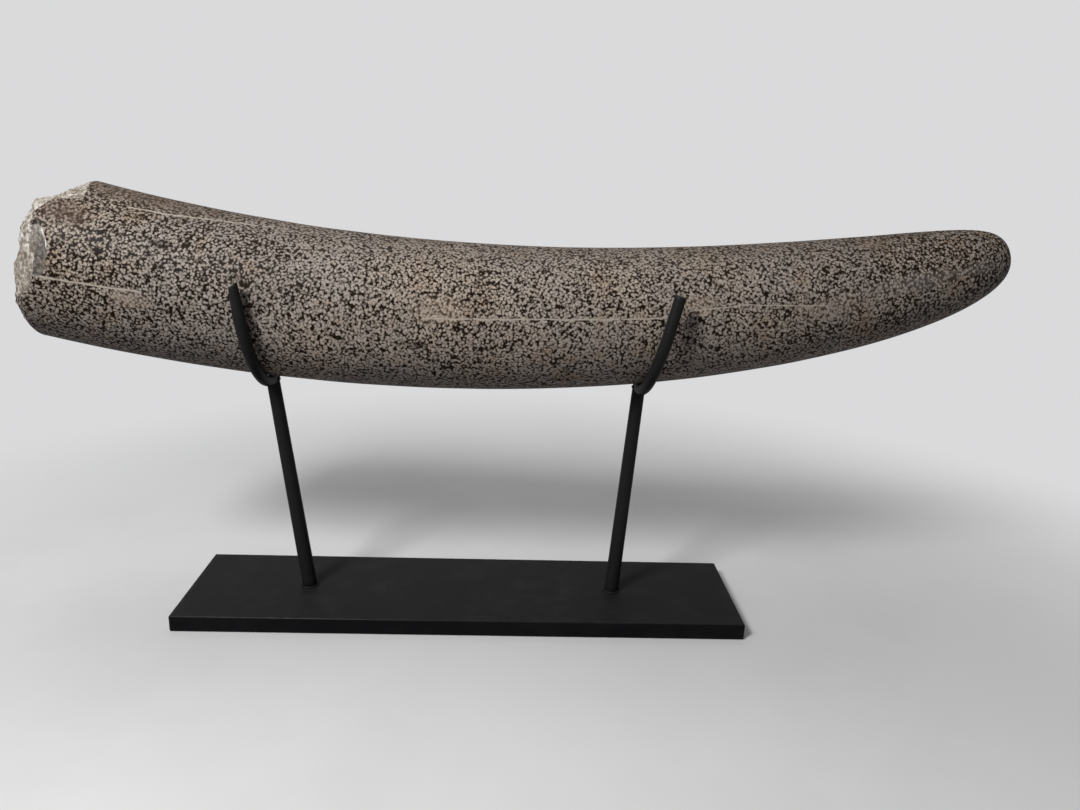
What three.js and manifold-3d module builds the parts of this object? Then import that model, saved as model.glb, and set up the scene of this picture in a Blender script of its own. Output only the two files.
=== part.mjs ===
// Fossil tusk resting on a welded steel stand with two bent cradles.
// Millimetres, +Z up. The origin is at the centre of the base plate's underside.
// +X runs along the tusk towards its tip, and the display side faces -Y.

import * as THREE from 'three';
import { mergeVertices } from 'three/addons/utils/BufferGeometryUtils.js';
import { ImprovedNoise } from 'three/addons/math/ImprovedNoise.js';
import Module from 'manifold-3d';

const { clamp, degToRad, lerp, smoothstep } = THREE.MathUtils;

// Gap kept between pieces that touch, and how close two corners count as one
const fitGap = 0.4;
const mergeReach = 1e-4;

// Base plate, a cut length of flat bar
const plateLength = 500;
const plateDepth = 120;
const plateThickness = 15;
const plateEdge = 1;

// Posts, round bars forged to a slight taper
const postFootRadius = 6.6;
const postTopRadius = 5.6;
const postSides = 24;
const weldSize = 1.5;
const weldSteps = 3;

// Cradles, each a round bar bent to a U that opens upward, with tapered prong ends
const barRadius = 4.8;
const barSides = 14;
const bendRadius = 68.5;
const cradleSteps = 34;
const supports = [
  { side: 'left', footX: -143, cradleX: -167, lean: -7.5, turn: 4.5, prongHeight: 91, prongTaper: 0.74 },
  { side: 'right', footX: 138, cradleX: 151, lean: 12.5, turn: -3, prongHeight: 93, prongTaper: 0.95 },
];

// Tusk, whose centre line is an arc that is lowest at lowX.
// Stations run along that arc from its lowest point, negative towards the root.
const lowX = 23;
const lowZ = 271;
const sweepRadius = 1580;
const rootStation = -368;
const tipStation = 438;
const rootRadius = 67;
const taper = 0.158;
const tipStart = 0.05;
const tipPower = 3.7;
const tipRoundness = 0.305;
const tipLift = 6.5;
const tipLiftPower = 8;
const depthRatio = 0.95;
const tuskSides = 48;
const skinRings = 40;

// Broken root end. Angles go round the section from the top, towards the display side.
const breakRings = 12;
const domeHeight = 5;
const wornRadius = 11;
const wornLoss = 4.5;
const spallAngle = degToRad(40);
const spallReach = degToRad(78);
const spallFull = degToRad(55);
const rimStation = -350.8;
const rimLean = 11;
const spallWidth = 14;
const flakeAngle = degToRad(80);
const flakeSpread = degToRad(16);
const flakeDepth = 3;

// Slice lost off the top beside the break. Its front edge drops for each millimetre towards the break.
const sliceFront = degToRad(34);
const sliceDrop = degToRad(0.38);
const sliceRear = degToRad(30);
const sliceRearEnd = degToRad(75);
const sliceStart = -340;
const sliceSlant = 11;
const sliceLength = 29;
const sliceDepth = 21;
const slicePower = 1.3;
const sliceSteepness = 0.5;

// Roughness of the broken face, and how far along the skin its rim is felt
const ledgeHeight = 2.5;
const ledgeSize = 24;
const ledgeLevels = 2;
const grainHeight = 1.6;
const grainSize = 9;
const rimBlend = 60;

const fossil = new THREE.MeshStandardMaterial({ color: 0x75695c, roughness: 0.35, metalness: 0 });
const blackSteel = new THREE.MeshStandardMaterial({ color: 0x1d1d20, roughness: 0.5, metalness: 0.2 });

const noise = new ImprovedNoise();
const wasm = await Module();
wasm.setup();

function toSolid(geometry) {
  const bare = geometry.clone();
  bare.deleteAttribute('normal');
  bare.deleteAttribute('uv');
  const merged = mergeVertices(bare.index ? bare.toNonIndexed() : bare, mergeReach);
  return new wasm.Manifold(new wasm.Mesh({
    numProp: 3,
    vertProperties: merged.attributes.position.array,
    triVerts: new Uint32Array(merged.index.array),
  }));
}

function toGeometry(solid) {
  const mesh = solid.getMesh();
  const geometry = new THREE.BufferGeometry();
  geometry.setAttribute('position', new THREE.BufferAttribute(new Float32Array(mesh.vertProperties), 3));
  geometry.setIndex(new THREE.BufferAttribute(new Uint32Array(mesh.triVerts), 1));
  geometry.computeVertexNormals();
  return geometry;
}

// Base plate

function plateGeometry() {
  const halfLength = plateLength / 2 - plateEdge;
  const halfDepth = plateDepth / 2 - plateEdge;
  const outline = new THREE.Shape([
    new THREE.Vector2(-halfLength, -halfDepth),
    new THREE.Vector2(halfLength, -halfDepth),
    new THREE.Vector2(halfLength, halfDepth),
    new THREE.Vector2(-halfLength, halfDepth),
  ]);
  const geometry = new THREE.ExtrudeGeometry(outline, {
    depth: plateThickness - 2 * plateEdge,
    bevelEnabled: true,
    bevelThickness: plateEdge,
    bevelSize: plateEdge,
    bevelSegments: 2,
  });
  return geometry.translate(0, 0, plateEdge);
}

// Tusk form

function tuskRadius(station) {
  const along = clamp((station - rootStation) / (tipStation - rootStation), 0, 1);
  const towardsTip = Math.max(along - tipStart, 0) / (1 - tipStart);
  return rootRadius * (1 - taper * along) * (1 - towardsTip ** tipPower) ** tipRoundness;
}

function tuskPoint(station, radius, angle, target) {
  const swing = station / sweepRadius;
  const lift = tipLift * Math.max(station / tipStation, 0) ** tipLiftPower;
  const up = radius * Math.cos(angle);
  return target.set(
    lowX + (sweepRadius - up) * Math.sin(swing),
    -radius * depthRatio * Math.sin(angle),
    lowZ + sweepRadius - (sweepRadius - up) * Math.cos(swing) + lift,
  );
}

// Station of the broken face at a share of the radius and an angle round the section.
// The lower and rear corner is worn round. The upper front one has spalled off,
// with a shallow flake off the display side.
function breakStation(share, angle) {
  const radius = share * rootRadius;
  const fromWorn = clamp((radius - rootRadius + wornRadius) / wornRadius, 0, 1);
  const fromSpall = clamp((radius - rootRadius + spallWidth) / spallWidth, 0, 1);
  const worn = wornLoss * share * share + wornRadius * (1 - Math.sqrt(1 - fromWorn * fromWorn));
  const spalled = smoothstep(Math.cos(angle - spallAngle), Math.cos(spallReach), Math.cos(spallFull));
  const flake = flakeDepth * Math.exp(-(((angle - flakeAngle) / flakeSpread) ** 2));
  const across = radius * Math.sin(angle);
  const high = radius * Math.cos(angle);
  const lumps = noise.noise(across / ledgeSize, high / ledgeSize, ledgeHeight);
  const ledge = Math.round(ledgeLevels * lumps) * ledgeHeight;
  const grain = grainHeight * noise.noise(across / grainSize, high / grainSize, grainHeight);
  const rough = (ledge + grain) * (1 - fromWorn * (1 - spalled));
  const face = rootStation - domeHeight * (1 - share * share);
  const rim = rimStation - rimLean * Math.cos(angle) + flake;
  const spall = lerp(face, rim, fromSpall);
  return lerp(face + worn, spall, spalled) + rough;
}

// How far the slice has lowered the skin
function sliceCut(station, angle) {
  const front = sliceFront + sliceDrop * (sliceStart - station);
  const inward = clamp((front - angle) / front, 0, 1);
  const rear = 1 - smoothstep(-angle, sliceRear, sliceRearEnd);
  const start = sliceStart + sliceSlant * (1 - inward);
  const run = Math.max((start - station) / sliceLength, 0);
  return sliceDepth * inward ** sliceSteepness * rear * run ** slicePower;
}

// The skin's rings near the break slide along it, so that the first one is the rim
function tuskGeometry() {
  const profile = [];
  for (let ring = 0; ring < breakRings; ring++) {
    profile.push(new THREE.Vector2(rootRadius * Math.sqrt(ring / breakRings), rootStation));
  }
  for (let ring = 0; ring <= skinRings; ring++) {
    const along = (1 - Math.cos(Math.PI * ring / skinRings)) / 2;
    const station = lerp(rootStation, tipStation, along);
    profile.push(new THREE.Vector2(tuskRadius(station), station));
  }
  const geometry = new THREE.LatheGeometry(profile, tuskSides);
  const place = geometry.attributes.position;
  const point = new THREE.Vector3();
  for (let index = 0; index < place.count; index++) {
    const ring = index % profile.length;
    const angle = 2 * Math.PI * (Math.floor(index / profile.length) % tuskSides) / tuskSides;
    const turned = angle > Math.PI ? angle - 2 * Math.PI : angle;
    const drawn = profile[ring];
    const rim = breakStation(1, turned);
    if (ring < breakRings) {
      const kept = 1 - sliceCut(rim, turned) / rootRadius;
      tuskPoint(breakStation(drawn.x / rootRadius, turned), drawn.x * kept, turned, point);
    } else {
      const station = drawn.y + (rim - rootStation) * Math.exp((rootStation - drawn.y) / rimBlend)
        * (1 - (drawn.y - rootStation) / (tipStation - rootStation));
      const radius = tuskRadius(station) - sliceCut(station, turned);
      tuskPoint(station, ring === profile.length - 1 ? 0 : radius, turned, point);
    }
    place.setXYZ(index, point.x, point.y, point.z);
  }
  geometry.computeVertexNormals();
  return geometry;
}

// Height of the tusk's underside above a place along the plate, and its slope there
function tuskUnderside(x) {
  let radius = rootRadius;
  let swing = 0;
  for (let pass = 0; pass < 4; pass++) {
    swing = Math.asin((x - lowX) / (sweepRadius + radius));
    radius = tuskRadius(swing * sweepRadius);
  }
  return { height: lowZ + sweepRadius - (sweepRadius + radius) * Math.cos(swing), slope: swing };
}

// Cradles and posts

class CradleBend extends THREE.Curve {
  constructor(prongHeight) {
    super();
    this.straight = prongHeight - bendRadius;
  }

  getPoint(t, target = new THREE.Vector3()) {
    const quarter = bendRadius * Math.PI / 2;
    const half = quarter + this.straight;
    const run = Math.abs(2 * t - 1) * half;
    const bend = Math.min(run, quarter) / bendRadius;
    const rise = Math.max(run - quarter, 0);
    const side = Math.sign(2 * t - 1);
    return target.set(0, side * bendRadius * Math.sin(bend), bendRadius * (1 - Math.cos(bend)) + rise);
  }
}

function cradleGeometry(radius, support) {
  const section = new THREE.Shape().absarc(0, 0, radius, 0, 2 * Math.PI);
  const geometry = new THREE.ExtrudeGeometry(section, {
    extrudePath: new CradleBend(support.prongHeight),
    steps: cradleSteps,
    curveSegments: barSides / 2,
  });
  const place = geometry.attributes.position;
  for (let index = 0; index < place.count; index++) {
    const risen = clamp((place.getZ(index) - bendRadius) / (support.prongHeight - bendRadius), 0, 1);
    const scale = lerp(1, support.prongTaper, risen);
    const middle = Math.sign(place.getY(index)) * bendRadius;
    place.setX(index, place.getX(index) * scale);
    place.setY(index, risen > 0 ? lerp(middle, place.getY(index), scale) : place.getY(index));
  }
  return geometry;
}

function cradlePlace(support) {
  const under = tuskUnderside(support.cradleX);
  const height = under.height - (barRadius + fitGap) / Math.cos(under.slope);
  return {
    position: new THREE.Vector3(support.cradleX, 0, height),
    rotation: new THREE.Euler(0, degToRad(support.lean), degToRad(support.turn), 'ZYX'),
  };
}

// A leaning bar with a weld fillet at its foot, its top cut to fit under the cradle
function postGeometry(support, place) {
  const rise = place.position.z - plateThickness;
  const height = rise - barRadius / 2;
  const fillet = new THREE.Path();
  fillet.moveTo(0, 0);
  fillet.lineTo(postFootRadius + weldSize, 0);
  fillet.absarc(postFootRadius + weldSize, weldSize, weldSize, -Math.PI / 2, -Math.PI, true);
  fillet.lineTo(postTopRadius, height);
  fillet.lineTo(0, height);
  const bar = new THREE.LatheGeometry(fillet.getPoints(weldSteps), postSides);
  bar.rotateX(Math.PI / 2);
  const slope = (support.cradleX - support.footX) / rise;
  bar.applyMatrix4(new THREE.Matrix4().makeShear(0, 0, 0, 0, slope, 0));
  bar.translate(support.footX, 0, plateThickness);
  const saddle = cradleGeometry(barRadius + fitGap, support);
  saddle.applyMatrix4(new THREE.Matrix4().compose(
    place.position,
    new THREE.Quaternion().setFromEuler(place.rotation),
    new THREE.Vector3(1, 1, 1),
  ));
  return toGeometry(toSolid(bar).subtract(toSolid(saddle)));
}

function named(name, geometry, material) {
  const mesh = new THREE.Mesh(geometry, material);
  mesh.name = name;
  return mesh;
}

const tuskOnStand = new THREE.Group();
tuskOnStand.add(named('base_plate', plateGeometry(), blackSteel));
tuskOnStand.add(named('tusk', tuskGeometry(), fossil));
for (const support of supports) {
  const place = cradlePlace(support);
  const cradle = named(`${support.side}_cradle`, cradleGeometry(barRadius, support), blackSteel);
  cradle.position.copy(place.position);
  cradle.rotation.copy(place.rotation);
  tuskOnStand.add(cradle);
  tuskOnStand.add(named(`${support.side}_post`, postGeometry(support, place), blackSteel));
}

export default tuskOnStand;
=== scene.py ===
# Fossil tusk on a black steel stand: fine meshes, finishes, floor, light and camera.
# Metres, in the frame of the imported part: +X towards the tip, -Y the display side, +Z up.

import math

import bmesh
import bpy
import numpy as np
from mathutils import Matrix, Vector, noise


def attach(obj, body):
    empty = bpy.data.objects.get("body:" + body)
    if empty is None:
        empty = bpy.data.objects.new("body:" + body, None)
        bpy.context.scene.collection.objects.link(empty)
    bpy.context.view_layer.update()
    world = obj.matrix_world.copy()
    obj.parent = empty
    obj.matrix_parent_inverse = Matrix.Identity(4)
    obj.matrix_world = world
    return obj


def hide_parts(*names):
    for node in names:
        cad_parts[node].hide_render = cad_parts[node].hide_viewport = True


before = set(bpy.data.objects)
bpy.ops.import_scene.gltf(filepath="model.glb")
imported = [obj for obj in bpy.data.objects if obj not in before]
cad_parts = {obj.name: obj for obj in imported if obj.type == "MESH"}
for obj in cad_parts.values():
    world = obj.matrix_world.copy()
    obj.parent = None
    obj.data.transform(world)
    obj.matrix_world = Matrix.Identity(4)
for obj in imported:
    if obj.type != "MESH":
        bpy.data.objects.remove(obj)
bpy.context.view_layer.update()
print("frame loaded with", len(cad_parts), "nodes")


# Small helpers for numbers and meshes

def smoothStep(low, high, value):
    share = np.clip((value - low) / (high - low), 0, 1)
    return share * share * (3 - 2 * share)


def blend(first, second, share):
    return first + (second - first) * share


def fullTurn(count):
    return np.linspace(0, 2 * math.pi, count, endpoint=False)


def lumps(points, size, seed):
    # soft noise from -1 to 1, with bumps about this size
    shift = Vector((seed, 2 * seed, 3 * seed))
    return np.array([noise.noise(Vector(point) / size + shift) for point in points])


def crystals(points, size, seed):
    # pointed grains, 0 in their middles and about 1 at their borders
    shift = Vector((seed, 2 * seed, 3 * seed))
    return np.array([noise.voronoi(Vector(point) / size + shift)[0][0] for point in points])


def coverRings(rings, startPole=None, endPole=None, closed=False):
    # points and faces of a skin over rings of equal count, ending in poles or joined end to end
    ringCount, sides = rings.shape[:2]
    points = [tuple(point) for point in rings.reshape(-1, 3)]
    faces = []
    for ring in range(ringCount if closed else ringCount - 1):
        after = (ring + 1) % ringCount
        for side in range(sides):
            nextSide = (side + 1) % sides
            faces.append((ring * sides + side, ring * sides + nextSide,
                          after * sides + nextSide, after * sides + side))
    for pole, ring in ((startPole, 0), (endPole, ringCount - 1)):
        if pole is None:
            continue
        points.append(tuple(pole))
        for side in range(sides):
            nextSide = (side + 1) % sides
            faces.append((ring * sides + side, ring * sides + nextSide, len(points) - 1))
    return points, faces


def makePiece(name, shells, sharpAngle, values=None):
    # one object from closed shells, with named values on its points
    points, faces = [], []
    for shellPoints, shellFaces in shells:
        start = len(points)
        points += shellPoints
        faces += [tuple(start + index for index in face) for face in shellFaces]
    mesh = bpy.data.meshes.new(name)
    mesh.from_pydata(points, [], faces)
    shape = bmesh.new()
    shape.from_mesh(mesh)
    bmesh.ops.recalc_face_normals(shape, faces=shape.faces)
    shape.to_mesh(mesh)
    shape.free()
    for label, numbers in (values or {}).items():
        mesh.attributes.new(label, "FLOAT", "POINT").data.foreach_set("value", numbers)
    mesh.shade_smooth()
    mesh.set_sharp_from_angle(angle=math.radians(sharpAngle))
    piece = bpy.data.objects.new(name, mesh)
    bpy.context.scene.collection.objects.link(piece)
    return piece


def joinFrame(piece, node, finish):
    piece.data.materials.append(finish)
    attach(piece, "root")
    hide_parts(node)
    print(piece.name, "made with", len(piece.data.polygons), "faces")


# Shader maths: a wrapped socket whose operators add Math nodes, and a finish that holds the nodes

class Amount:
    def __init__(self, finish, socket):
        self.finish = finish
        self.socket = socket

    def __add__(self, other):
        return self.finish.maths("ADD", self, other)

    def __sub__(self, other):
        return self.finish.maths("SUBTRACT", self, other)

    def __rsub__(self, other):
        return self.finish.maths("SUBTRACT", other, self)

    def __mul__(self, other):
        return self.finish.maths("MULTIPLY", self, other)

    def __truediv__(self, other):
        return self.finish.maths("DIVIDE", self, other)

    def __pow__(self, other):
        return self.finish.maths("POWER", self, other)

    def __abs__(self):
        return self.finish.maths("ABSOLUTE", self)

    __radd__ = __add__
    __rmul__ = __mul__

    def step(self, low, high, rise="SMOOTHSTEP"):
        # 0 below low and 1 above high, eased between; the other way round where low is larger
        return self.finish.add("ShaderNodeMapRange", {"interpolation_type": rise},
                               {"Value": self, "From Min": low, "From Max": high})


class Finish:
    def __init__(self, owner):
        # the owner is a new material or world
        owner.use_nodes = True
        self.owner = owner
        self.tree = owner.node_tree
        self.tree.nodes.clear()
        self.place = self.add("ShaderNodeTexCoord", output="Object")

    def add(self, kind, settings=None, sockets=None, output=0):
        node = self.tree.nodes.new(kind)
        for name, value in (settings or {}).items():
            setattr(node, name, value)
        for name, value in (sockets or {}).items():
            if isinstance(value, Amount):
                self.tree.links.new(value.socket, node.inputs[name])
            else:
                node.inputs[name].default_value = value
        return Amount(self, node.outputs[output]) if len(node.outputs) else None

    def maths(self, operation, *terms):
        return self.add("ShaderNodeMath", {"operation": operation}, dict(enumerate(terms)))

    def strongest(self, masks):
        most = masks[0]
        for mask in masks[1:]:
            most = self.maths("MAXIMUM", most, mask)
        return most

    def grain(self, scale, detail=2.0, roughness=0.5, distortion=0.0, place=None):
        return self.add("ShaderNodeTexNoise", None,
                        {"Vector": place or self.place, "Scale": scale, "Detail": detail,
                         "Roughness": roughness, "Distortion": distortion})

    def part(self, vector, axis):
        return self.add("ShaderNodeSeparateXYZ", None, {0: vector}, axis)

    def mix(self, factor, first, second):
        return self.add("ShaderNodeMix", {"data_type": "RGBA"}, {0: factor, 6: first, 7: second}, 2)

    def stored(self, label):
        return self.add("ShaderNodeAttribute", {"attribute_name": label}, output="Fac")

    def bump(self, height, strength, distance):
        return self.add("ShaderNodeBump", None,
                        {"Height": height, "Strength": strength, "Distance": distance})

    def close(self, **surface):
        names = {"baseColor": "Base Color", "roughness": "Roughness", "normal": "Normal",
                 "specular": "Specular IOR Level", "alpha": "Alpha"}
        shader = self.add("ShaderNodeBsdfPrincipled", None,
                          {names[name]: value for name, value in surface.items()})
        self.add("ShaderNodeOutputMaterial", None, {"Surface": shader})
        return self.owner


# Tusk form: an arc that is lowest at lowX, with stations along it from the lowest point

tuskForm = {
    "lowX": 0.023, "lowZ": 0.271, "sweepRadius": 1.58, "depthRatio": 0.95,
    "rootStation": -0.368, "tipStation": 0.438, "rootRadius": 0.067, "taper": 0.158,
    "tipStart": 0.05, "tipPower": 3.7, "tipRoundness": 0.305, "tipLift": 0.0065, "tipLiftPower": 8,
    "waveHeight": 0.0003, "waveSize": 0.045, "calmRings": 8,
    "sides": 288, "skinRings": 236, "breakRings": 64, "rimCrowding": 1.7, "rimBlend": 0.06,
    "sharpAngle": 48,
}

# Broken end; angles in degrees round the section, from the top towards the display side,
# and the corner's edge drops by so many degrees a metre
tuskBreak = {
    "domeHeight": 0.005, "wornRadius": 0.006, "wornLoss": 0.006,
    "spallAngle": 40, "spallReach": 78, "spallFull": 55, "spallWidth": 0.014,
    "rimStation": -0.3508, "rimLean": 0.011, "rimCalm": 0.7, "rimCalmPower": 3, "rimPale": 0.6,
    "notchAngle": 80, "notchSpread": 16, "notchDepth": 0.003,
    "knobAngle": 43, "knobSpread": 10, "knobReach": 0.004,
    "cornerAngle": 53, "cornerStation": -0.358, "cornerDrop": 1545, "cornerSoftness": 4,
    "cornerEnd": (-0.340, -0.345),
    "ledgeHeight": 0.0024, "ledgeSize": 0.024, "ledgeLevels": 2.2, "ledgeRise": (0.3, 0.7),
    "crystalHeight": 0.0018, "crystalSize": 0.0050, "grainHeight": 0.0007, "grainSize": 0.0022,
    "chipHeight": 0.0014, "chipSize": 0.008,
    "paleLag": 2.1, "paleWander": 0.09, "paleSize": 0.009, "wornShares": (0.74, 0.88),
    "lapShares": (0.950, 0.972), "lapUpper": (51, 55), "lapLower": (65, 60),
}

# Slice lost off the top beside the break; its front edge drops by so many degrees a metre
tuskSlice = {
    "front": 34, "drop": 380, "rear": 30, "rearEnd": 75, "start": -0.340, "slant": 0.011,
    "length": 0.029, "depth": 0.021, "power": 1.3, "steepness": 0.5,
    "frontWander": 2.5, "startWander": 0.002, "wanderSize": 0.008, "crystalHeight": 0.0013,
    "paleDepths": (0.0001, 0.0007),
}

# Smooth shell-shaped flake in the skin at the rim
tuskScoop = {
    "station": -0.3500, "angle": 78, "tilt": 0.0125, "halfLength": 0.0095, "halfHeight": 0.0215,
    "depth": 0.0026, "faceFade": 6,
}


def tuskRadius(station):
    form = tuskForm
    along = np.clip((station - form["rootStation"]) / (form["tipStation"] - form["rootStation"]), 0, 1)
    towardsTip = np.maximum(along - form["tipStart"], 0) / (1 - form["tipStart"])
    rounding = (1 - towardsTip ** form["tipPower"]) ** form["tipRoundness"]
    return form["rootRadius"] * (1 - form["taper"] * along) * rounding


def tuskPoints(station, radius, angle):
    form = tuskForm
    swing = station / form["sweepRadius"]
    lift = form["tipLift"] * np.maximum(station / form["tipStation"], 0) ** form["tipLiftPower"]
    up = radius * np.cos(angle)
    return np.stack([
        form["lowX"] + (form["sweepRadius"] - up) * np.sin(swing),
        -radius * form["depthRatio"] * np.sin(angle),
        form["lowZ"] + form["sweepRadius"] - (form["sweepRadius"] - up) * np.cos(swing) + lift,
    ], axis=-1)


def spalledShare(angle):
    broken = tuskBreak
    reach = math.cos(math.radians(broken["spallReach"]))
    full = math.cos(math.radians(broken["spallFull"]))
    return smoothStep(reach, full, np.cos(angle - math.radians(broken["spallAngle"])))


def rimSwell(angle, middle, spread):
    # 1 at the middle angle, falling away to each side
    turn = (np.degrees(angle) - middle) / spread
    return np.exp(-turn * turn)


def breakStation(share, angle):
    # station of the broken face: a low dome, worn round below and behind, spalled away above
    form, broken = tuskForm, tuskBreak
    rootRadius, wornRadius, spallWidth = form["rootRadius"], broken["wornRadius"], broken["spallWidth"]
    radius = share * rootRadius
    fromWorn = np.clip((radius - rootRadius + wornRadius) / wornRadius, 0, 1)
    fromSpall = np.clip((radius - rootRadius + spallWidth) / spallWidth, 0, 1)
    worn = broken["wornLoss"] * share * share + wornRadius * (1 - np.sqrt(1 - fromWorn * fromWorn))
    face = form["rootStation"] - broken["domeHeight"] * (1 - share * share)
    notch = broken["notchDepth"] * rimSwell(angle, broken["notchAngle"], broken["notchSpread"])
    knob = broken["knobReach"] * rimSwell(angle, broken["knobAngle"], broken["knobSpread"])
    rim = broken["rimStation"] - broken["rimLean"] * np.cos(angle) + notch - knob
    spalled = spalledShare(angle)
    smooth = blend(face + worn, blend(face, rim, fromSpall), spalled)
    # ledges, crystals, grains and chips, none of them on the worn edge
    spot = np.stack([radius * np.sin(angle), radius * np.cos(angle), smooth], axis=-1)
    steps = broken["ledgeLevels"] * lumps(spot, broken["ledgeSize"], seed=4)
    level = np.floor(steps)
    ledge = broken["ledgeHeight"] * (level + smoothStep(*broken["ledgeRise"], steps - level))
    ledge = ledge * (1 - broken["rimCalm"] * fromSpall ** broken["rimCalmPower"])
    crystal = broken["crystalHeight"] * (crystals(spot, broken["crystalSize"], seed=7) - 0.5)
    grain = broken["grainHeight"] * lumps(spot, broken["grainSize"], seed=9)
    chip = broken["chipHeight"] * lumps(spot, broken["chipSize"], seed=11) * fromSpall
    return smooth + (ledge + crystal + grain + chip) * (1 - fromWorn * (1 - spalled))


def sliceCut(station, angle):
    # how far the slice has lowered the skin, with a ragged edge and a rough floor
    cut, broken = tuskSlice, tuskBreak
    spot = np.stack([station, angle * tuskForm["rootRadius"], np.zeros_like(station)], axis=-1)
    wander = lumps(spot, cut["wanderSize"], seed=13)
    front = cut["front"] + cut["drop"] * (cut["start"] - station) + cut["frontWander"] * wander
    inward = np.clip((front - np.degrees(angle)) / front, 0, 1)
    rear = 1 - smoothStep(cut["rear"], cut["rearEnd"], -np.degrees(angle))
    start = cut["start"] + cut["slant"] * (1 - inward) + cut["startWander"] * wander
    run = np.maximum((start - station) / cut["length"], 0)
    depth = cut["depth"] * inward ** cut["steepness"] * rear * run ** cut["power"]
    rough = cut["crystalHeight"] * crystals(spot, broken["crystalSize"], seed=17)
    rough = rough + broken["grainHeight"] * lumps(spot, broken["grainSize"], seed=19)
    return depth + rough * smoothStep(0, 2 * cut["crystalHeight"], depth)


def scoopShare(station, angle):
    scoop = tuskScoop
    reachAngle = scoop["halfHeight"] / tuskForm["rootRadius"]
    lower = angle - math.radians(scoop["angle"])
    across = station - scoop["station"] - scoop["tilt"] * lower
    return np.clip(1 - (across / scoop["halfLength"]) ** 2 - (lower / reachAngle) ** 2, 0, 1)


def bareCorner(station, angle):
    # the corner between the rim and the slice, where the skin has come away
    broken = tuskBreak
    edge = broken["cornerAngle"] - broken["cornerDrop"] * (station - broken["cornerStation"])
    inside = smoothStep(0, broken["cornerSoftness"], edge - np.abs(np.degrees(angle)))
    return inside * smoothStep(*broken["cornerEnd"], station)


def breakRings(angle, kept):
    # rings from near the middle of the break out towards its rim, with how bare and scooped they are
    form, broken = tuskForm, tuskBreak
    degrees = np.degrees(angle)
    lapAngles = smoothStep(*broken["lapUpper"], degrees) * smoothStep(*broken["lapLower"], degrees)
    steps = np.arange(1, form["breakRings"]) / form["breakRings"]
    for share in 1 - (1 - steps) ** form["rimCrowding"]:
        station = breakStation(np.full(len(angle), share), angle)
        scoop = scoopShare(station, angle) * share ** tuskScoop["faceFade"]
        radius = share * form["rootRadius"] * kept - tuskScoop["depth"] * scoop
        points = tuskPoints(station, radius, angle)
        wander = broken["paleWander"] * lumps(points, broken["paleSize"], seed=21)
        bareFace = 1 - smoothStep(*broken["wornShares"], share + wander)
        paleAngle = angle - np.where(angle > 0, broken["paleLag"] * (1 - share), 0)
        skinLap = smoothStep(*broken["lapShares"], share) * lapAngles
        yield points, np.maximum(spalledShare(paleAngle), bareFace) * (1 - skinLap), scoop


def skinRings(angle, rim):
    # rings from the rim to the tip, closer together near both ends
    form, broken = tuskForm, tuskBreak
    rootStation = form["rootStation"]
    for ring in range(form["skinRings"]):
        along = (1 - math.cos(math.pi * ring / form["skinRings"])) / 2
        drawn = blend(rootStation, form["tipStation"], along)
        rimShare = math.exp((rootStation - drawn) / form["rimBlend"]) * (1 - along)
        station = drawn + (rim - rootStation) * rimShare
        scoop = scoopShare(station, angle)
        sliced = sliceCut(station, angle)
        radius = tuskRadius(station)
        wave = lumps(tuskPoints(station, radius, angle), form["waveSize"], seed=2)
        wave = wave * min(1, ring / form["calmRings"])
        radius = radius + form["waveHeight"] * wave * radius / form["rootRadius"]
        points = tuskPoints(station, radius - tuskScoop["depth"] * scoop - sliced, angle)
        bareRim = spalledShare(angle) * (broken["rimPale"] if ring == 0 else 0)
        bareSlice = smoothStep(*tuskSlice["paleDepths"], sliced)
        yield points, np.maximum.reduce([bareRim, bareSlice, bareCorner(station, angle)]), scoop


def makeTusk(finish):
    form = tuskForm
    angle = np.linspace(-math.pi, math.pi, form["sides"], endpoint=False)
    rim = breakStation(np.ones(form["sides"]), angle)
    kept = 1 - sliceCut(rim, angle) / form["rootRadius"]
    rings, bare, scooped = zip(*breakRings(angle, kept), *skinRings(angle, rim))
    centre = tuskPoints(breakStation(np.zeros(1), np.zeros(1)), 0, np.zeros(1))[0]
    tip = tuskPoints(np.array([form["tipStation"]]), 0, np.zeros(1))[0]
    shell = coverRings(np.array(rings), centre, tip)
    values = {"fracture": np.append(np.concatenate(bare), [1, 0]),
              "flake": np.append(np.concatenate(scooped), [0, 0])}
    piece = makePiece("fossilTusk", [shell], form["sharpAngle"], values)
    joinFrame(piece, "tusk", finish)


# Tusk finish: dark specks between tan grains, pale healed cracks, cream where broken

# Noises are given as scale, detail, roughness and distortion, and pairs are ranges, here and below
skinLook = {
    "tan": (0.55, 0.462, 0.384, 1), "deepTan": (0.32, 0.263, 0.21, 1), "deepShare": 0.85,
    "greyTan": (0.36, 0.325, 0.30, 1), "greyRange": (0.40, 0.66), "greyShare": 0.6,
    "rust": (0.36, 0.255, 0.17, 1), "rustRange": (0.52, 0.72), "rustShare": 0.6,
    "russet": (0.125, 0.078, 0.056, 1), "umber": (0.085, 0.060, 0.043, 1),
    "speck": (0.013, 0.0072, 0.0038, 1), "toneCurve": 0.8, "fineGrain": (1100, 2, 0.6),
    # painted shade: the top and the tip are darkened
    "paintedTopShade": (0.064, 0.047, 0.035, 1), "topAngles": (58, 20), "topEnd": (0.41, 0.33), "topShare": 0.28,
    "paintedTipShade": (0.03, 0.022, 0.017, 1), "tipReach": (0.0, 0.34), "tipShare": 0.15,
    "clouds": (9, 3, 0.6), "patches": (34, 3, 0.6),
    "roughness": 0.48, "grainRoughness": 0.10, "cloudRoughness": 0.2, "specular": 0.06,
    "bumpStrength": 0.5, "bumpDistance": 0.0004, "grainRelief": 0.25, "crackRelief": 0.3,
}

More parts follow.
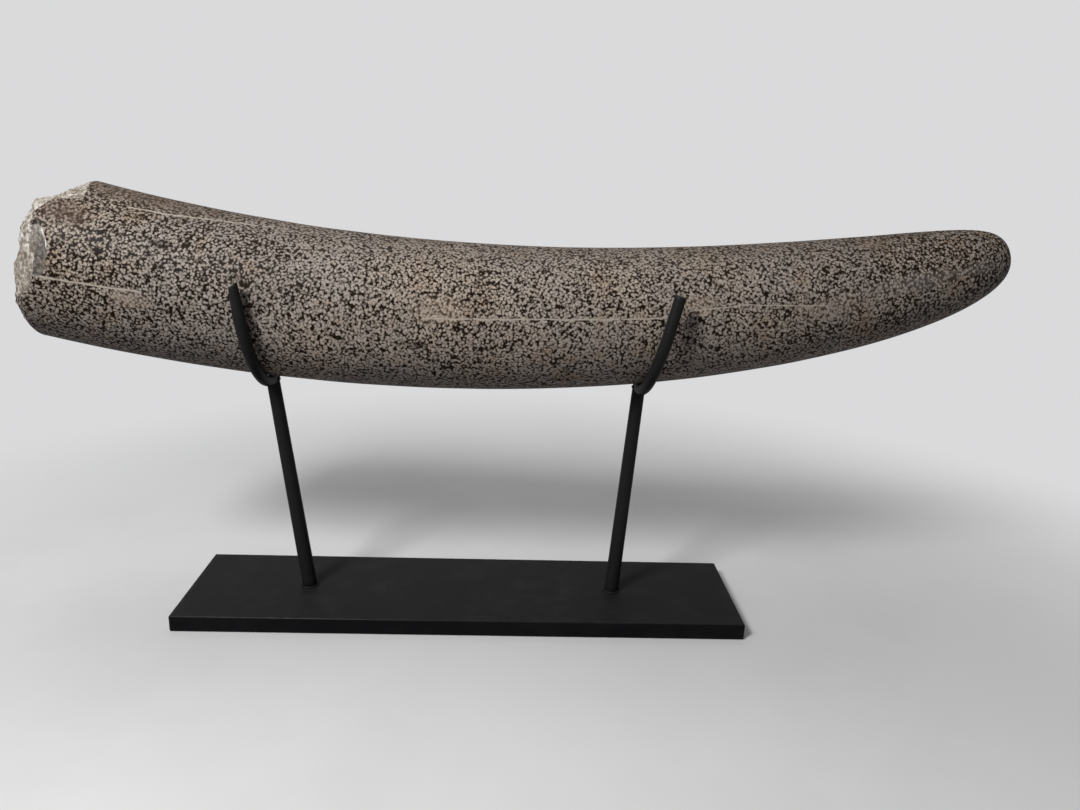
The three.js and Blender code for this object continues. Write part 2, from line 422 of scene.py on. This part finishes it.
# Specks: a level from several patterns, dark below the range and tan above it
speckLook = {
    "level": 0.517, "range": (0.43, 0.62),
    "wanderScale": 540, "wander": 0.0018, "spacingScale": 448, "spacingWeight": 0.46,
    "speckle": (540, 1.4, 0.5, 0.3), "speckleWeight": 0.43, "cellScale": 530, "cellWeight": 0.08,
    # painted shade: the specks thicken towards both ends
    "patchWeight": 0.08, "rootDark": (-0.12, -0.30), "tipDark": (0.20, 0.42), "paintedEndShade": 0.03,
    # painted fill light: the specks thin out underneath
    "lowAngles": (80, 120), "paintedFillLight": 0.016,
}

# Cracks as stations and angles in degrees along each line, its half width and strength
crackLook = {
    "colour": (0.46, 0.40, 0.335, 1), "wobble": (60, 3, 0.6), "wobbleAngle": 2.4, "ends": (0.53, 0.49),
    "outerWidth": 1.6, "innerWidth": 0.5, "gaps": (170, 2), "gapRange": (0.22, 0.42),
}
skinCracks = [
    {"line": [(-0.349, 94.5), (-0.27, 90)], "half": 0.0007, "strength": 0.95},
    {"line": [(-0.053, 83), (0.045, 81.4), (0.137, 82.7)], "half": 0.0007, "strength": 0.9},
    {"line": [(-0.298, 30.5), (-0.269, 28.9), (-0.237, 24.6), (-0.187, 19.9)],
     "half": 0.0007, "strength": 0.85},
    {"line": [(-0.162, 54.6), (-0.131, 52.9)], "half": 0.0005, "strength": 0.4},
    {"line": [(0.157, 79), (0.202, 77), (0.272, 86.5)], "half": 0.0006, "strength": 0.75},
]

# Stains and painted shadows as station and angle, half length and half height, tint, its strength,
# and how far each thins the specks or, below 0, thickens them
stainAndShadowLook = {"ragged": 3, "edge": (1.6, -0.2)}
stainsAndShadows = [
    {"at": (-0.042, 77), "half": (0.024, 0.012), "tint": "rust", "strength": 0.22, "thin": 0.03},
    {"at": (0.284, 89), "half": (0.034, 0.014), "tint": "rust", "strength": 0.18, "thin": 0.02},
    {"at": (-0.338, 47), "half": (0.026, 0.013), "tint": "russet", "strength": 0.48, "thin": 0.01},
    {"at": (-0.290, 8), "half": (0.060, 0.022), "tint": "russet", "strength": 0.38, "thin": 0.02},
    {"at": (-0.356, 128), "half": (0.020, 0.030), "tint": "umber", "strength": 0.15, "thin": 0.0},
    {"at": (-0.185, 66), "half": (0.045, 0.026), "tint": "umber", "strength": 0.06, "thin": -0.022},
    # painted shade in the shadowed corner above the flake
    {"at": (-0.3545, 59.5), "half": (0.007, 0.0036), "tint": "speck", "strength": 0.85, "thin": -0.05},
    {"at": (0.360, 79), "half": (0.060, 0.012), "tint": "greyTan", "strength": 0.26, "thin": 0.0},
    {"at": (0.165, 74), "half": (0.022, 0.008), "tint": "rust", "strength": 0.24, "thin": 0.03},
    {"at": (0.300, 116), "half": (0.080, 0.015), "tint": "umber", "strength": 0.05, "thin": -0.025},
    {"at": (0.040, 113), "half": (0.140, 0.016), "tint": "umber", "strength": 0.04, "thin": -0.014},
    {"at": (-0.277, 97), "half": (0.015, 0.008), "tint": "rust", "strength": 0.24, "thin": 0.045},
    {"at": (-0.262, 55), "half": (0.009, 0.004), "tint": "speck", "strength": 0.55, "thin": -0.03},
    # painted shadow of the left cradle's prong, in these two dark marks
    {"at": (-0.1985, 68), "half": (0.010, 0.006), "tint": "speck", "strength": 0.32, "thin": -0.03},
    {"at": (-0.1840, 88), "half": (0.007, 0.020), "tint": "speck", "strength": 0.20, "thin": -0.02},
    {"at": (-0.061, 103), "half": (0.013, 0.004), "tint": "speck", "strength": 0.50, "thin": -0.03},
]

# Bare break: cream with white blotches and brown between the crumbs
breakLook = {
    "cream": (0.40, 0.350, 0.293, 1), "white": (0.68, 0.64, 0.585, 1), "shade": (0.10, 0.078, 0.058, 1),
    "edge": (260, 2), "edgeRagged": 0.5, "edgeRange": (0.38, 0.55),
    "blotches": (90, 4, 0.65), "whiteRange": (0.42, 0.66),
    "crumbs": (300, 3, 0.6), "shadeRange": (0.58, 0.41), "shadeShare": 0.75,
    "roughness": 0.72, "relief": 2,
}

# Flake: grey where it is sunk, paler above, with a broken glint along its edge
flakeLook = {
    "grey": (0.15, 0.141, 0.134, 1), "pale": (0.36, 0.345, 0.325, 1), "paleShare": 0.5, "share": 0.70,
    "range": (0.05, 0.22), "ragged": (170, 3, 0.6), "raggedDepth": 0.3, "raggedRange": (0, 0.15),
    "sunkAcross": 45, "sunkDown": 0.09, "sunkFrom": 3, "sunkBlotches": (150, 3), "sunkRagged": 2,
    "sunkRange": (-0.6, 0.5), "shadeRange": (0.58, 0.42), "shadeShare": 0.55,
    "glint": (0.78, 0.77, 0.75, 1), "glintRise": (0.10, 0.16), "glintFall": (0.34, 0.24),
    "glintAcross": (0.001, 0.004), "glintAngles": (-1, -5),
    "glintGaps": (330, 2), "glintGapRange": (0.36, 0.52), "roughness": 0.36,
}

skinDegree = tuskForm["rootRadius"] * math.radians(1)  # metres on the skin for each degree


def skinPlace(skin):
    # station and angle of each spot, worked out from its place
    form = tuskForm
    along = skin.part(skin.place, "X") - form["lowX"]
    aside = skin.part(skin.place, "Y") * (-1 / form["depthRatio"])
    below = form["lowZ"] + form["sweepRadius"] - skin.part(skin.place, "Z")
    reach = (along * along + below * below) ** 0.5
    station = skin.maths("ARCTAN2", along, below) * form["sweepRadius"]
    angle = skin.maths("ARCTAN2", aside, form["sweepRadius"] - reach) * math.degrees(1)
    return station, angle


def speckPattern(skin):
    # a level from evenly spaced grains, noise and cells, and a random shade for each cell
    look = speckLook
    wander = skin.add("ShaderNodeTexNoise", None,
                      {"Vector": skin.place, "Scale": look["wanderScale"]}, "Color")
    shifted = skin.add("ShaderNodeVectorMath", {"operation": "MULTIPLY_ADD"},
                       {0: wander, 1: (look["wander"],) * 3, 2: skin.place})
    cells = skin.add("ShaderNodeTexVoronoi", None, {"Vector": shifted, "Scale": look["cellScale"]}, "Color")
    spacing = skin.add("ShaderNodeTexVoronoi", None,
                       {"Vector": shifted, "Scale": look["spacingScale"]}, "Distance")
    lift = skin.add("ShaderNodeSeparateColor", None, {0: cells}, "Red")
    shade = skin.add("ShaderNodeSeparateColor", None, {0: cells}, "Green")
    level = look["level"] + (0.5 - spacing) * look["spacingWeight"]
    level = level + (skin.grain(*look["speckle"]) - 0.5) * look["speckleWeight"]
    return level + (lift - 0.5) * look["cellWeight"], shade


def stainAndShadowMasks(station, angle, patches):
    # how far each spot lies in each stain or painted shadow, with ragged edges
    ragged = (patches - 0.5) * stainAndShadowLook["ragged"]
    masks = []
    for mark in stainsAndShadows:
        atStation, atAngle = mark["at"]
        halfLength, halfHeight = mark["half"]
        away = ((station - atStation) / halfLength) ** 2
        away = away + ((angle - atAngle) * (skinDegree / halfHeight)) ** 2
        masks.append((away + ragged).step(*stainAndShadowLook["edge"]))
    return masks


def skinColour(skin, station, angle, clouds):
    # specks of every tone, thinned or thickened in soft patches, in the stains and in the painted shadows;
    # painted shade towards both ends, along the top and at the tip, and painted fill light underneath
    look, specks = skinLook, speckLook
    patches = skin.grain(*look["patches"])
    markMasks = stainAndShadowMasks(station, angle, patches)
    level, shade = speckPattern(skin)
    level = level + (patches - 0.5 + clouds - 0.5) * specks["patchWeight"]
    # painted shade towards both ends
    ends = station.step(*specks["rootDark"]) + station.step(*specks["tipDark"])
    level = level - ends * specks["paintedEndShade"]
    # painted fill light underneath
    level = level + abs(angle).step(*specks["lowAngles"]) * specks["paintedFillLight"]
    for mark, inside in zip(stainsAndShadows, markMasks):
        level = level + inside * mark["thin"]
    light = level.step(*specks["range"], "LINEAR")
    tone = light + (skin.grain(*look["fineGrain"]) - 0.5) * light * (1 - light)
    tan = skin.mix(shade * look["deepShare"], look["tan"], look["deepTan"])
    tan = skin.mix(clouds.step(*look["greyRange"]) * look["greyShare"], tan, look["greyTan"])
    tan = skin.mix(patches.step(*look["rustRange"]) * look["rustShare"], tan, look["rust"])
    colour = skin.mix(tone ** look["toneCurve"], look["speck"], tan)
    for mark, inside in zip(stainsAndShadows, markMasks):
        colour = skin.mix(inside * mark["strength"], colour, look[mark["tint"]])
    # painted shade darkens the top and the tip
    onTop = abs(angle).step(*look["topAngles"]) * station.step(*look["topEnd"])
    colour = skin.mix(onTop * look["topShare"], colour, look["paintedTopShade"])
    colour = skin.mix(station.step(*look["tipReach"]) * look["tipShare"], colour, look["paintedTipShade"])
    return colour, light


def crackMask(skin, station, angle):
    look = crackLook
    wobble = (skin.grain(*look["wobble"]) - 0.5) * look["wobbleAngle"]
    lines = []
    for crack in skinCracks:
        outer, inner = crack["half"] * look["outerWidth"], crack["half"] * look["innerWidth"]
        for (fromStation, fromAngle), (toStation, toAngle) in zip(crack["line"], crack["line"][1:]):
            share = (station - fromStation) / (toStation - fromStation)
            offLine = abs(angle - fromAngle - share * (toAngle - fromAngle) + wobble) * skinDegree
            within = abs(share - 0.5).step(*look["ends"])
            lines.append(offLine.step(outer, inner) * within * crack["strength"])
    return skin.strongest(lines) * skin.grain(*look["gaps"]).step(*look["gapRange"])


def breakColour(skin, crumbs):
    look = breakLook
    cream = skin.mix(skin.grain(*look["blotches"]).step(*look["whiteRange"]), look["cream"], look["white"])
    return skin.mix(crumbs.step(*look["shadeRange"]) * look["shadeShare"], cream, look["shade"])


def addFlake(skin, colour, cream, crumbs, edge, station, angle):
    # the colour with the flake and its glint laid over it, and the flake's mask
    look, scoop = flakeLook, tuskScoop
    lower = angle - scoop["angle"]
    across = station - scoop["station"] - lower * math.radians(scoop["tilt"])
    dished = skin.stored("flake")
    ragged = (skin.grain(*look["ragged"]) - 0.5) * look["raggedDepth"]
    dished = dished + ragged * dished.step(*look["raggedRange"])
    mask = dished.step(*look["range"]) * (1 - edge)
    sunk = across * look["sunkAcross"] + (lower + look["sunkFrom"]) * look["sunkDown"]
    sunk = sunk + (skin.grain(*look["sunkBlotches"]) - 0.5) * look["sunkRagged"]
    shell = skin.mix(look["paleShare"], cream, look["pale"])
    shell = skin.mix(sunk.step(*look["sunkRange"]), shell, look["grey"])
    shell = skin.mix(crumbs.step(*look["shadeRange"]) * look["shadeShare"], shell, breakLook["shade"])
    colour = skin.mix(mask * look["share"], colour, shell)
    glint = dished.step(*look["glintRise"]) * dished.step(*look["glintFall"]) * (1 - edge)
    glint = glint * across.step(*look["glintAcross"]) * lower.step(*look["glintAngles"])
    glint = glint * skin.grain(*look["glintGaps"]).step(*look["glintGapRange"])
    return skin.mix(glint, colour, look["glint"]), mask


def tuskFinish():
    look, broken = skinLook, breakLook
    skin = Finish(bpy.data.materials.new("speckledFossil"))
    station, angle = skinPlace(skin)
    clouds = skin.grain(*look["clouds"])
    colour, light = skinColour(skin, station, angle, clouds)
    cracks = crackMask(skin, station, angle)
    colour = skin.mix(cracks, colour, crackLook["colour"])
    # the broken end, then the flake at its rim
    ragged = (skin.grain(*broken["edge"]) - 0.5) * broken["edgeRagged"]
    edge = (skin.stored("fracture") + ragged).step(*broken["edgeRange"])
    crumbs = skin.grain(*broken["crumbs"])
    cream = breakColour(skin, crumbs)
    colour = skin.mix(edge, colour, cream)
    colour, flake = addFlake(skin, colour, cream, crumbs, edge, station, angle)
    rough = look["roughness"] + (light - 0.5) * look["grainRoughness"]
    rough = rough + (clouds - 0.5) * look["cloudRoughness"]
    rough = blend(rough, broken["roughness"], edge)
    rough = blend(rough, flakeLook["roughness"], flake)
    height = light * (1 - edge) * (1 - flake) * look["grainRelief"]
    height = height + crumbs * edge * broken["relief"] - cracks * look["crackRelief"]
    normal = skin.bump(height, look["bumpStrength"], look["bumpDistance"])
    return skin.close(baseColor=colour, roughness=rough, normal=normal, specular=look["specular"])


# Black steel finish: satin paint with a fine texture, thin dust, painted top light, rubbed edges and
# hairline scratches

paintLook = {
    "black": (0.0045, 0.0045, 0.0052, 1), "worn": (0.008, 0.008, 0.0088, 1),
    "blotches": (22, 4, 0.6), "wornRange": (0.4, 0.68), "wornShare": 0.6,
    "bar": (0.015, 0.0148, 0.015, 1), "barRise": (0.015, 0.022),
    "paintedTopLight": (0.016, 0.016, 0.0162, 1), "upward": (0.55, 1.0),
    "dust": (0.09, 0.088, 0.085, 1), "dustPatches": (34, 5, 0.7), "dustSpecks": (600, 2),
    "patchShare": 0.6, "dustRange": (0.47, 0.68), "dustShare": 0.16,
    "rubbed": (0.05, 0.049, 0.049, 1), "rubs": (70, 4, 0.7), "rubRange": (0.42, 0.66), "rubShare": 0.15,
    "scratches": [{"stretch": (9, 520, 9), "turn": 0.12}, {"stretch": (14, 620, 14), "turn": -0.5}],
    "scratchLines": (1, 1, 0.5, 0.1), "scratchRange": (0.70, 0.76), "scratchShare": 0.30,
    "scratchPatches": (11, 2), "scratchPatchRange": (0.45, 0.62),
    "roughness": 0.44, "blotchRoughness": 0.22, "dustRoughness": 0.9, "rubPolish": 0.08, "specular": 0.15,
    "texture": (1100, 2, 0.6), "peel": (260, 2), "bumpStrength": 0.22, "bumpDistance": 0.0004,
}


def steelFinish():
    look = paintLook
    paint = Finish(bpy.data.materials.new("satinBlackPaint"))
    blotches = paint.grain(*look["blotches"])
    colour = paint.mix(blotches.step(*look["wornRange"]) * look["wornShare"], look["black"], look["worn"])
    # the bars above the plate are a shade lighter, faces that look up get painted top light, and dust lies
    # on them
    colour = paint.mix(paint.part(paint.place, "Z").step(*look["barRise"]), colour, look["bar"])
    facing = paint.add("ShaderNodeNewGeometry", output="Normal")
    upward = paint.part(facing, "Z").step(*look["upward"])
    colour = paint.mix(upward, colour, look["paintedTopLight"])
    specks = blend(paint.grain(*look["dustSpecks"]), paint.grain(*look["dustPatches"]), look["patchShare"])
    dust = upward * specks.step(*look["dustRange"]) * look["dustShare"]
    colour = paint.mix(dust, colour, look["dust"])
    # two families of hairline scratches
    lines = []
    for family in look["scratches"]:
        drawn = paint.add("ShaderNodeMapping", None, {"Vector": paint.place, "Scale": family["stretch"],
                                                      "Rotation": (0, 0, family["turn"])})
        lines.append(paint.grain(*look["scratchLines"], place=drawn).step(*look["scratchRange"]))
    scratchPatches = paint.grain(*look["scratchPatches"]).step(*look["scratchPatchRange"])
    scratch = paint.strongest(lines) * upward * scratchPatches
    colour = paint.mix(scratch * look["scratchShare"], colour, look["rubbed"])
    rubbed = paint.stored("edge") * paint.grain(*look["rubs"]).step(*look["rubRange"])
    colour = paint.mix(rubbed * look["rubShare"], colour, look["rubbed"])
    rough = look["roughness"] + (blotches - 0.5) * look["blotchRoughness"]
    rough = rough + dust * look["dustRoughness"] - rubbed * look["rubPolish"]
    relief = (paint.grain(*look["texture"]) + paint.grain(*look["peel"])) * 0.5
    normal = paint.bump(relief, look["bumpStrength"], look["bumpDistance"])
    return paint.close(baseColor=colour, roughness=rough, normal=normal, specular=look["specular"])


# Base plate: flat bar with eased edges, drawn as rings of one outline

plate = {
    "length": 0.5, "depth": 0.12, "thickness": 0.015, "cornerRadius": 0.0012, "leastCorner": 0.0002,
    "easing": 0.0016, "easingSteps": 5, "cornerSteps": 6, "flatBorder": 0.003,
    "lowerWear": 0.4, "sharpAngle": 50,
}


def plateOutline(inset, height):
    corner = max(plate["cornerRadius"] - inset, plate["leastCorner"])
    halfLength = plate["length"] / 2 - inset - corner
    halfDepth = plate["depth"] / 2 - inset - corner
    ring = []
    for quarter, (sideX, sideY) in enumerate(((1, 1), (-1, 1), (-1, -1), (1, -1))):
        for step in range(plate["cornerSteps"]):
            turn = math.pi / 2 * (quarter + step / (plate["cornerSteps"] - 1))
            ring.append((sideX * halfLength + corner * math.cos(turn),
                         sideY * halfDepth + corner * math.sin(turn), height))
    return ring


def makePlate(finish):
    easing, thickness = plate["easing"], plate["thickness"]
    border = easing + plate["flatBorder"]
    turns = [math.pi / 2 * step / plate["easingSteps"] for step in range(plate["easingSteps"] + 1)]
    rings, wear = [plateOutline(border, 0)], [0]
    for turn in turns:
        rings.append(plateOutline(easing * (1 - math.sin(turn)), easing * (1 - math.cos(turn))))
        wear.append(plate["lowerWear"])
    for turn in turns:
        rise = thickness - easing + easing * math.sin(turn)
        rings.append(plateOutline(easing * (1 - math.cos(turn)), rise))
        wear.append(math.sin(turn))
    rings.append(plateOutline(border, thickness))
    wear.append(0)
    shell = coverRings(np.array(rings), (0, 0, 0), (0, 0, thickness))
    values = {"edge": np.append(np.repeat(wear, len(rings[0])), [0, 0])}
    piece = makePiece("basePlate", [shell], plate["sharpAngle"], values)
    joinFrame(piece, "base_plate", finish)


# Posts and cradles: round bar, welded; each prong end cut and eased by hand

bar = {
    "radius": 0.0048, "gap": 0.0004, "bendRadius": 0.0685, "sides": 28, "steps": 120,
    "endEasing": 0.0009, "easedStep": 0.4, "easedWidth": 0.95, "slantPower": 6,
    "hammer": 0.00012, "hammerSize": 0.018, "sharpAngle": 50,
}
post = {
    "footRadius": 0.0066, "topRadius": 0.0056, "sides": 40, "rings": 60, "copedShare": 0.97,
    "crownShare": 0.5, "footBead": 0.0012, "footBeadOut": 0.35, "topBead": 0.0010, "topBeadIn": 0.97,
    "beadSides": 12, "beadSteps": 96, "ripples": 17, "rippleHeight": 0.14,
}
supports = [
    {"side": "left", "footX": -0.143, "cradleX": -0.167, "lean": -7.5, "turn": 4.5,
     "prongHeight": 0.091, "prongTaper": 0.74, "endSlant": -0.6},
    {"side": "right", "footX": 0.138, "cradleX": 0.151, "lean": 12.5, "turn": -3,
     "prongHeight": 0.093, "prongTaper": 0.95, "endSlant": 0.1},
]


def tuskUnderside(x):
    # height and slope of the tusk's lowest line at x, settled in a few rounds
    form = tuskForm
    radius, swing = form["rootRadius"], 0
    for attempt in range(4):
        swing = math.asin((x - form["lowX"]) / (form["sweepRadius"] + radius))
        radius = float(tuskRadius(swing * form["sweepRadius"]))
    return form["lowZ"] + form["sweepRadius"] - (form["sweepRadius"] + radius) * math.cos(swing), swing


def cradlePlace(support):
    # middle of the bend, just below the tusk, and the way the cradle is turned
    height, slope = tuskUnderside(support["cradleX"])
    spot = Vector((support["cradleX"], 0, height - (bar["radius"] + bar["gap"]) / math.cos(slope)))
    turn = Matrix.Rotation(math.radians(support["turn"]), 3, "Z")
    return spot, turn @ Matrix.Rotation(math.radians(support["lean"]), 3, "Y")


def cradleSection(run, support, shrink):
    # one ring of the bar at a distance from the middle of the bend, positive towards +Y
    bendRadius = bar["bendRadius"]
    quarter = bendRadius * math.pi / 2
    side = math.copysign(1, run)
    bend = min(abs(run), quarter) / bendRadius
    rise = max(abs(run) - quarter, 0)
    centre = Vector((0, side * bendRadius * math.sin(bend), bendRadius * (1 - math.cos(bend)) + rise))
    risen = rise / (support["prongHeight"] - bendRadius)
    radius = bar["radius"] * blend(1, support["prongTaper"], risen) * shrink
    ahead = Vector((0, math.cos(bend), side * math.sin(bend))) * side
    across = Vector((1, 0, 0)).cross(ahead)
    slant = radius * support["endSlant"] * risen ** bar["slantPower"]
    ring = []
    for turn in fullTurn(bar["sides"]):
        out = Vector((math.cos(turn), 0, 0)) + across * math.sin(turn)
        ring.append(centre + out * radius - ahead * (math.cos(turn) * slant))
    return ring


def makeCradle(support, finish):
    spot, turned = cradlePlace(support)
    half = bar["bendRadius"] * math.pi / 2 + support["prongHeight"] - bar["bendRadius"]
    easing = bar["endEasing"]
    ends = [(half - easing * bar["easedStep"], bar["easedWidth"]), (half, 1 - easing / bar["radius"])]
    runs = [(-run, shrink) for run, shrink in reversed(ends)]
    runs += [(run, 1) for run in np.linspace(-half + easing, half - easing, bar["steps"])]
    runs += ends
    rings = np.array([[spot + turned @ point for point in cradleSection(run, support, shrink)]
                      for run, shrink in runs])
    # slight hammer marks
    middles = rings.mean(axis=1, keepdims=True)
    dents = lumps(rings.reshape(-1, 3), bar["hammerSize"], seed=5).reshape(rings.shape[:2])
    rings = middles + (rings - middles) * (1 + bar["hammer"] / bar["radius"] * dents)[..., None]
    shell = coverRings(rings, rings[0].mean(axis=0), rings[-1].mean(axis=0))
    piece = makePiece(support["side"] + "Cradle", [shell], bar["sharpAngle"])
    joinFrame(piece, support["side"] + "_cradle", finish)


def weldBead(path, size):
    # a rippled bead laid along a closed path
    count = len(path)
    middle = sum(path, Vector()) / count
    rings = []
    for index, point in enumerate(path):
        ahead = (path[(index + 1) % count] - path[index - 1]).normalized()
        out = point - middle
        out = (out - ahead * out.dot(ahead)).normalized()
        rise = ahead.cross(out)
        ripple = abs(math.sin(post["ripples"] * math.pi * index / count))
        radius = size * (1 - post["rippleHeight"] + post["rippleHeight"] * 2 * ripple)
        rings.append([point + out * radius * math.cos(turn) + rise * radius * math.sin(turn)
                      for turn in fullTurn(post["beadSides"])])
    return coverRings(np.array(rings), closed=True)


def barMeeting(out, rise, inward):
    # where a line of the post's side meets the underside of the bar, as a share of its rise
    local = inward @ out
    sideways = min(abs(local.x), bar["radius"] * post["copedShare"])
    under = local.y ** 2 / (2 * bar["bendRadius"]) - math.sqrt(bar["radius"] ** 2 - sideways ** 2)
    return 1 + (under - local.z) / (inward @ rise).z


def makePost(support, finish):
    spot, turned = cradlePlace(support)
    inward = turned.transposed()
    foot = Vector((support["footX"], 0, plate["thickness"]))
    rise = spot - foot
    rings = []
    for share in np.arange(post["rings"] + 1) / post["rings"]:
        radius = blend(post["footRadius"], post["topRadius"], share)
        ring = []
        for turn in fullTurn(post["sides"]):
            out = Vector((math.cos(turn), math.sin(turn), 0)) * radius
            ring.append(foot + out + rise * share * barMeeting(out, rise, inward))
        rings.append(ring)
    rings = np.array(rings)
    crown = rings[-1].mean(axis=0) + np.array((0, 0, bar["radius"] * post["crownShare"]))
    footPath, topPath = [], []
    for turn in fullTurn(post["beadSteps"]):
        out = Vector((math.cos(turn), math.sin(turn), 0))
        footPath.append(foot + out * (post["footRadius"] + post["footBead"] * post["footBeadOut"]))
        out = out * post["topRadius"] * post["topBeadIn"]
        topPath.append(foot + out + rise * barMeeting(out, rise, inward))
    shells = [coverRings(rings, foot, crown),
              weldBead(footPath, post["footBead"]), weldBead(topPath, post["topBead"])]
    piece = makePiece(support["side"] + "Post", shells, bar["sharpAngle"])
    joinFrame(piece, support["side"] + "_post", finish)


# Floor, light and camera

studio = {
    "floorHalf": 4, "floorPale": (0.80, 0.80, 0.795, 1), "floorGrey": (0.75, 0.75, 0.745, 1),
    "floorBlotches": (3, 4, 0.6), "floorRange": (0.35, 0.65), "floorRoughness": 0.7,
    "floorFade": (0.90, 0.40), "floorMiddle": (0.05, -0.10, 0), "backdrop": (0.70, 0.70, 0.71, 1),
    "skyLeft": (0.27, 0.272, 0.28, 1), "skyRight": (0.07, 0.07, 0.072, 1), "skyAcross": (-0.7, 0.8),
    "skyBelow": (0.232, 0.232, 0.248, 1), "skyRise": (-0.15, 0.35),
}
lamps = [
    {"name": "keyLamp", "place": (-0.66, -0.88, 1.16), "aim": (-0.02, 0, 0.24), "size": 0.4, "power": 16.5},
    {"name": "topLamp", "place": (0.1, 0.5, 2.0), "aim": (0.1, 0.3, 0), "size": 1.6, "power": 8.5},
]
photoView = {
    "place": (0.03718, -0.70930, 0.39811), "heading": -2.227, "tilt": -16.022, "roll": 2.058,
    "focal": 838.8, "imageWidth": 1080, "sensor": 36,
}


def makeFloor():
    # a pale floor that fades into the backdrop well beyond the stand
    half = studio["floorHalf"]
    corners = [(-half, -half, 0), (half, -half, 0), (half, half, 0), (-half, half, 0)]
    mesh = bpy.data.meshes.new("floor")
    mesh.from_pydata(corners, [], [(0, 1, 2, 3)])
    ground = bpy.data.objects.new("floor", mesh)
    bpy.context.scene.collection.objects.link(ground)
    pale = Finish(bpy.data.materials.new("paleFloor"))
    blotches = pale.grain(*studio["floorBlotches"]).step(*studio["floorRange"])
    tone = pale.mix(blotches, studio["floorGrey"], studio["floorPale"])
    away = pale.add("ShaderNodeVectorMath", {"operation": "DISTANCE"},
                    {0: pale.place, 1: studio["floorMiddle"]}, "Value")
    mesh.materials.append(pale.close(baseColor=tone, roughness=studio["floorRoughness"],
                                     alpha=away.step(*studio["floorFade"])))
    # the sky below stands in for the light the floor would throw back
    ground.visible_diffuse = False
    ground.visible_glossy = False


def makeLamp(name, place, aim, size, power):
    lamp = bpy.data.lights.new(name, "AREA")
    lamp.shape = "DISK"
    lamp.size = size
    lamp.energy = power
    holder = bpy.data.objects.new(name, lamp)
    holder.location = place
    holder.rotation_euler = (Vector(aim) - Vector(place)).to_track_quat("-Z", "Y").to_euler()
    bpy.context.scene.collection.objects.link(holder)


def makeSky():
    # the backdrop is paler than the light it gives, which is dimmer from the right and from below
    sky = Finish(bpy.data.worlds.new("studio"))
    towards = sky.add("ShaderNodeTexCoord", output="Generated")
    across = sky.part(towards, "X").step(*studio["skyAcross"])
    upward = sky.part(towards, "Z").step(*studio["skyRise"])
    above = sky.mix(across, studio["skyLeft"], studio["skyRight"])
    glow = sky.mix(upward, studio["skyBelow"], above)
    lit = sky.add("ShaderNodeBackground", None, {"Color": glow})
    shown = sky.add("ShaderNodeBackground", None, {"Color": studio["backdrop"]})
    seen = sky.add("ShaderNodeLightPath", output="Is Camera Ray")
    both = sky.add("ShaderNodeMixShader", None, {0: seen, 1: lit, 2: shown})
    sky.add("ShaderNodeOutputWorld", None, {"Surface": both})
    bpy.context.scene.world = sky.owner


def makeCamera():
    view = photoView
    camera = bpy.data.cameras.new("photoCamera")
    camera.sensor_fit = "HORIZONTAL"
    camera.sensor_width = view["sensor"]
    camera.lens = view["focal"] * view["sensor"] / view["imageWidth"]
    turn = Matrix.Rotation(math.radians(view["heading"]), 4, "Z")
    turn = turn @ Matrix.Rotation(math.radians(90 + view["tilt"]), 4, "X")
    turn = turn @ Matrix.Rotation(math.radians(view["roll"]), 4, "Z")
    holder = bpy.data.objects.new("photoCamera", camera)
    holder.matrix_world = Matrix.Translation(view["place"]) @ turn
    bpy.context.scene.collection.objects.link(holder)
    bpy.context.scene.camera = holder


makeCamera()
print("camera placed")

blackSteel = steelFinish()
makePlate(blackSteel)
for support in supports:
    makePost(support, blackSteel)
    makeCradle(support, blackSteel)
print("stand made")

makeTusk(tuskFinish())
print("tusk made")

makeFloor()
makeSky()
for lamp in lamps:
    makeLamp(**lamp)
bpy.context.scene.view_settings.view_transform = "Standard"
print("studio made")
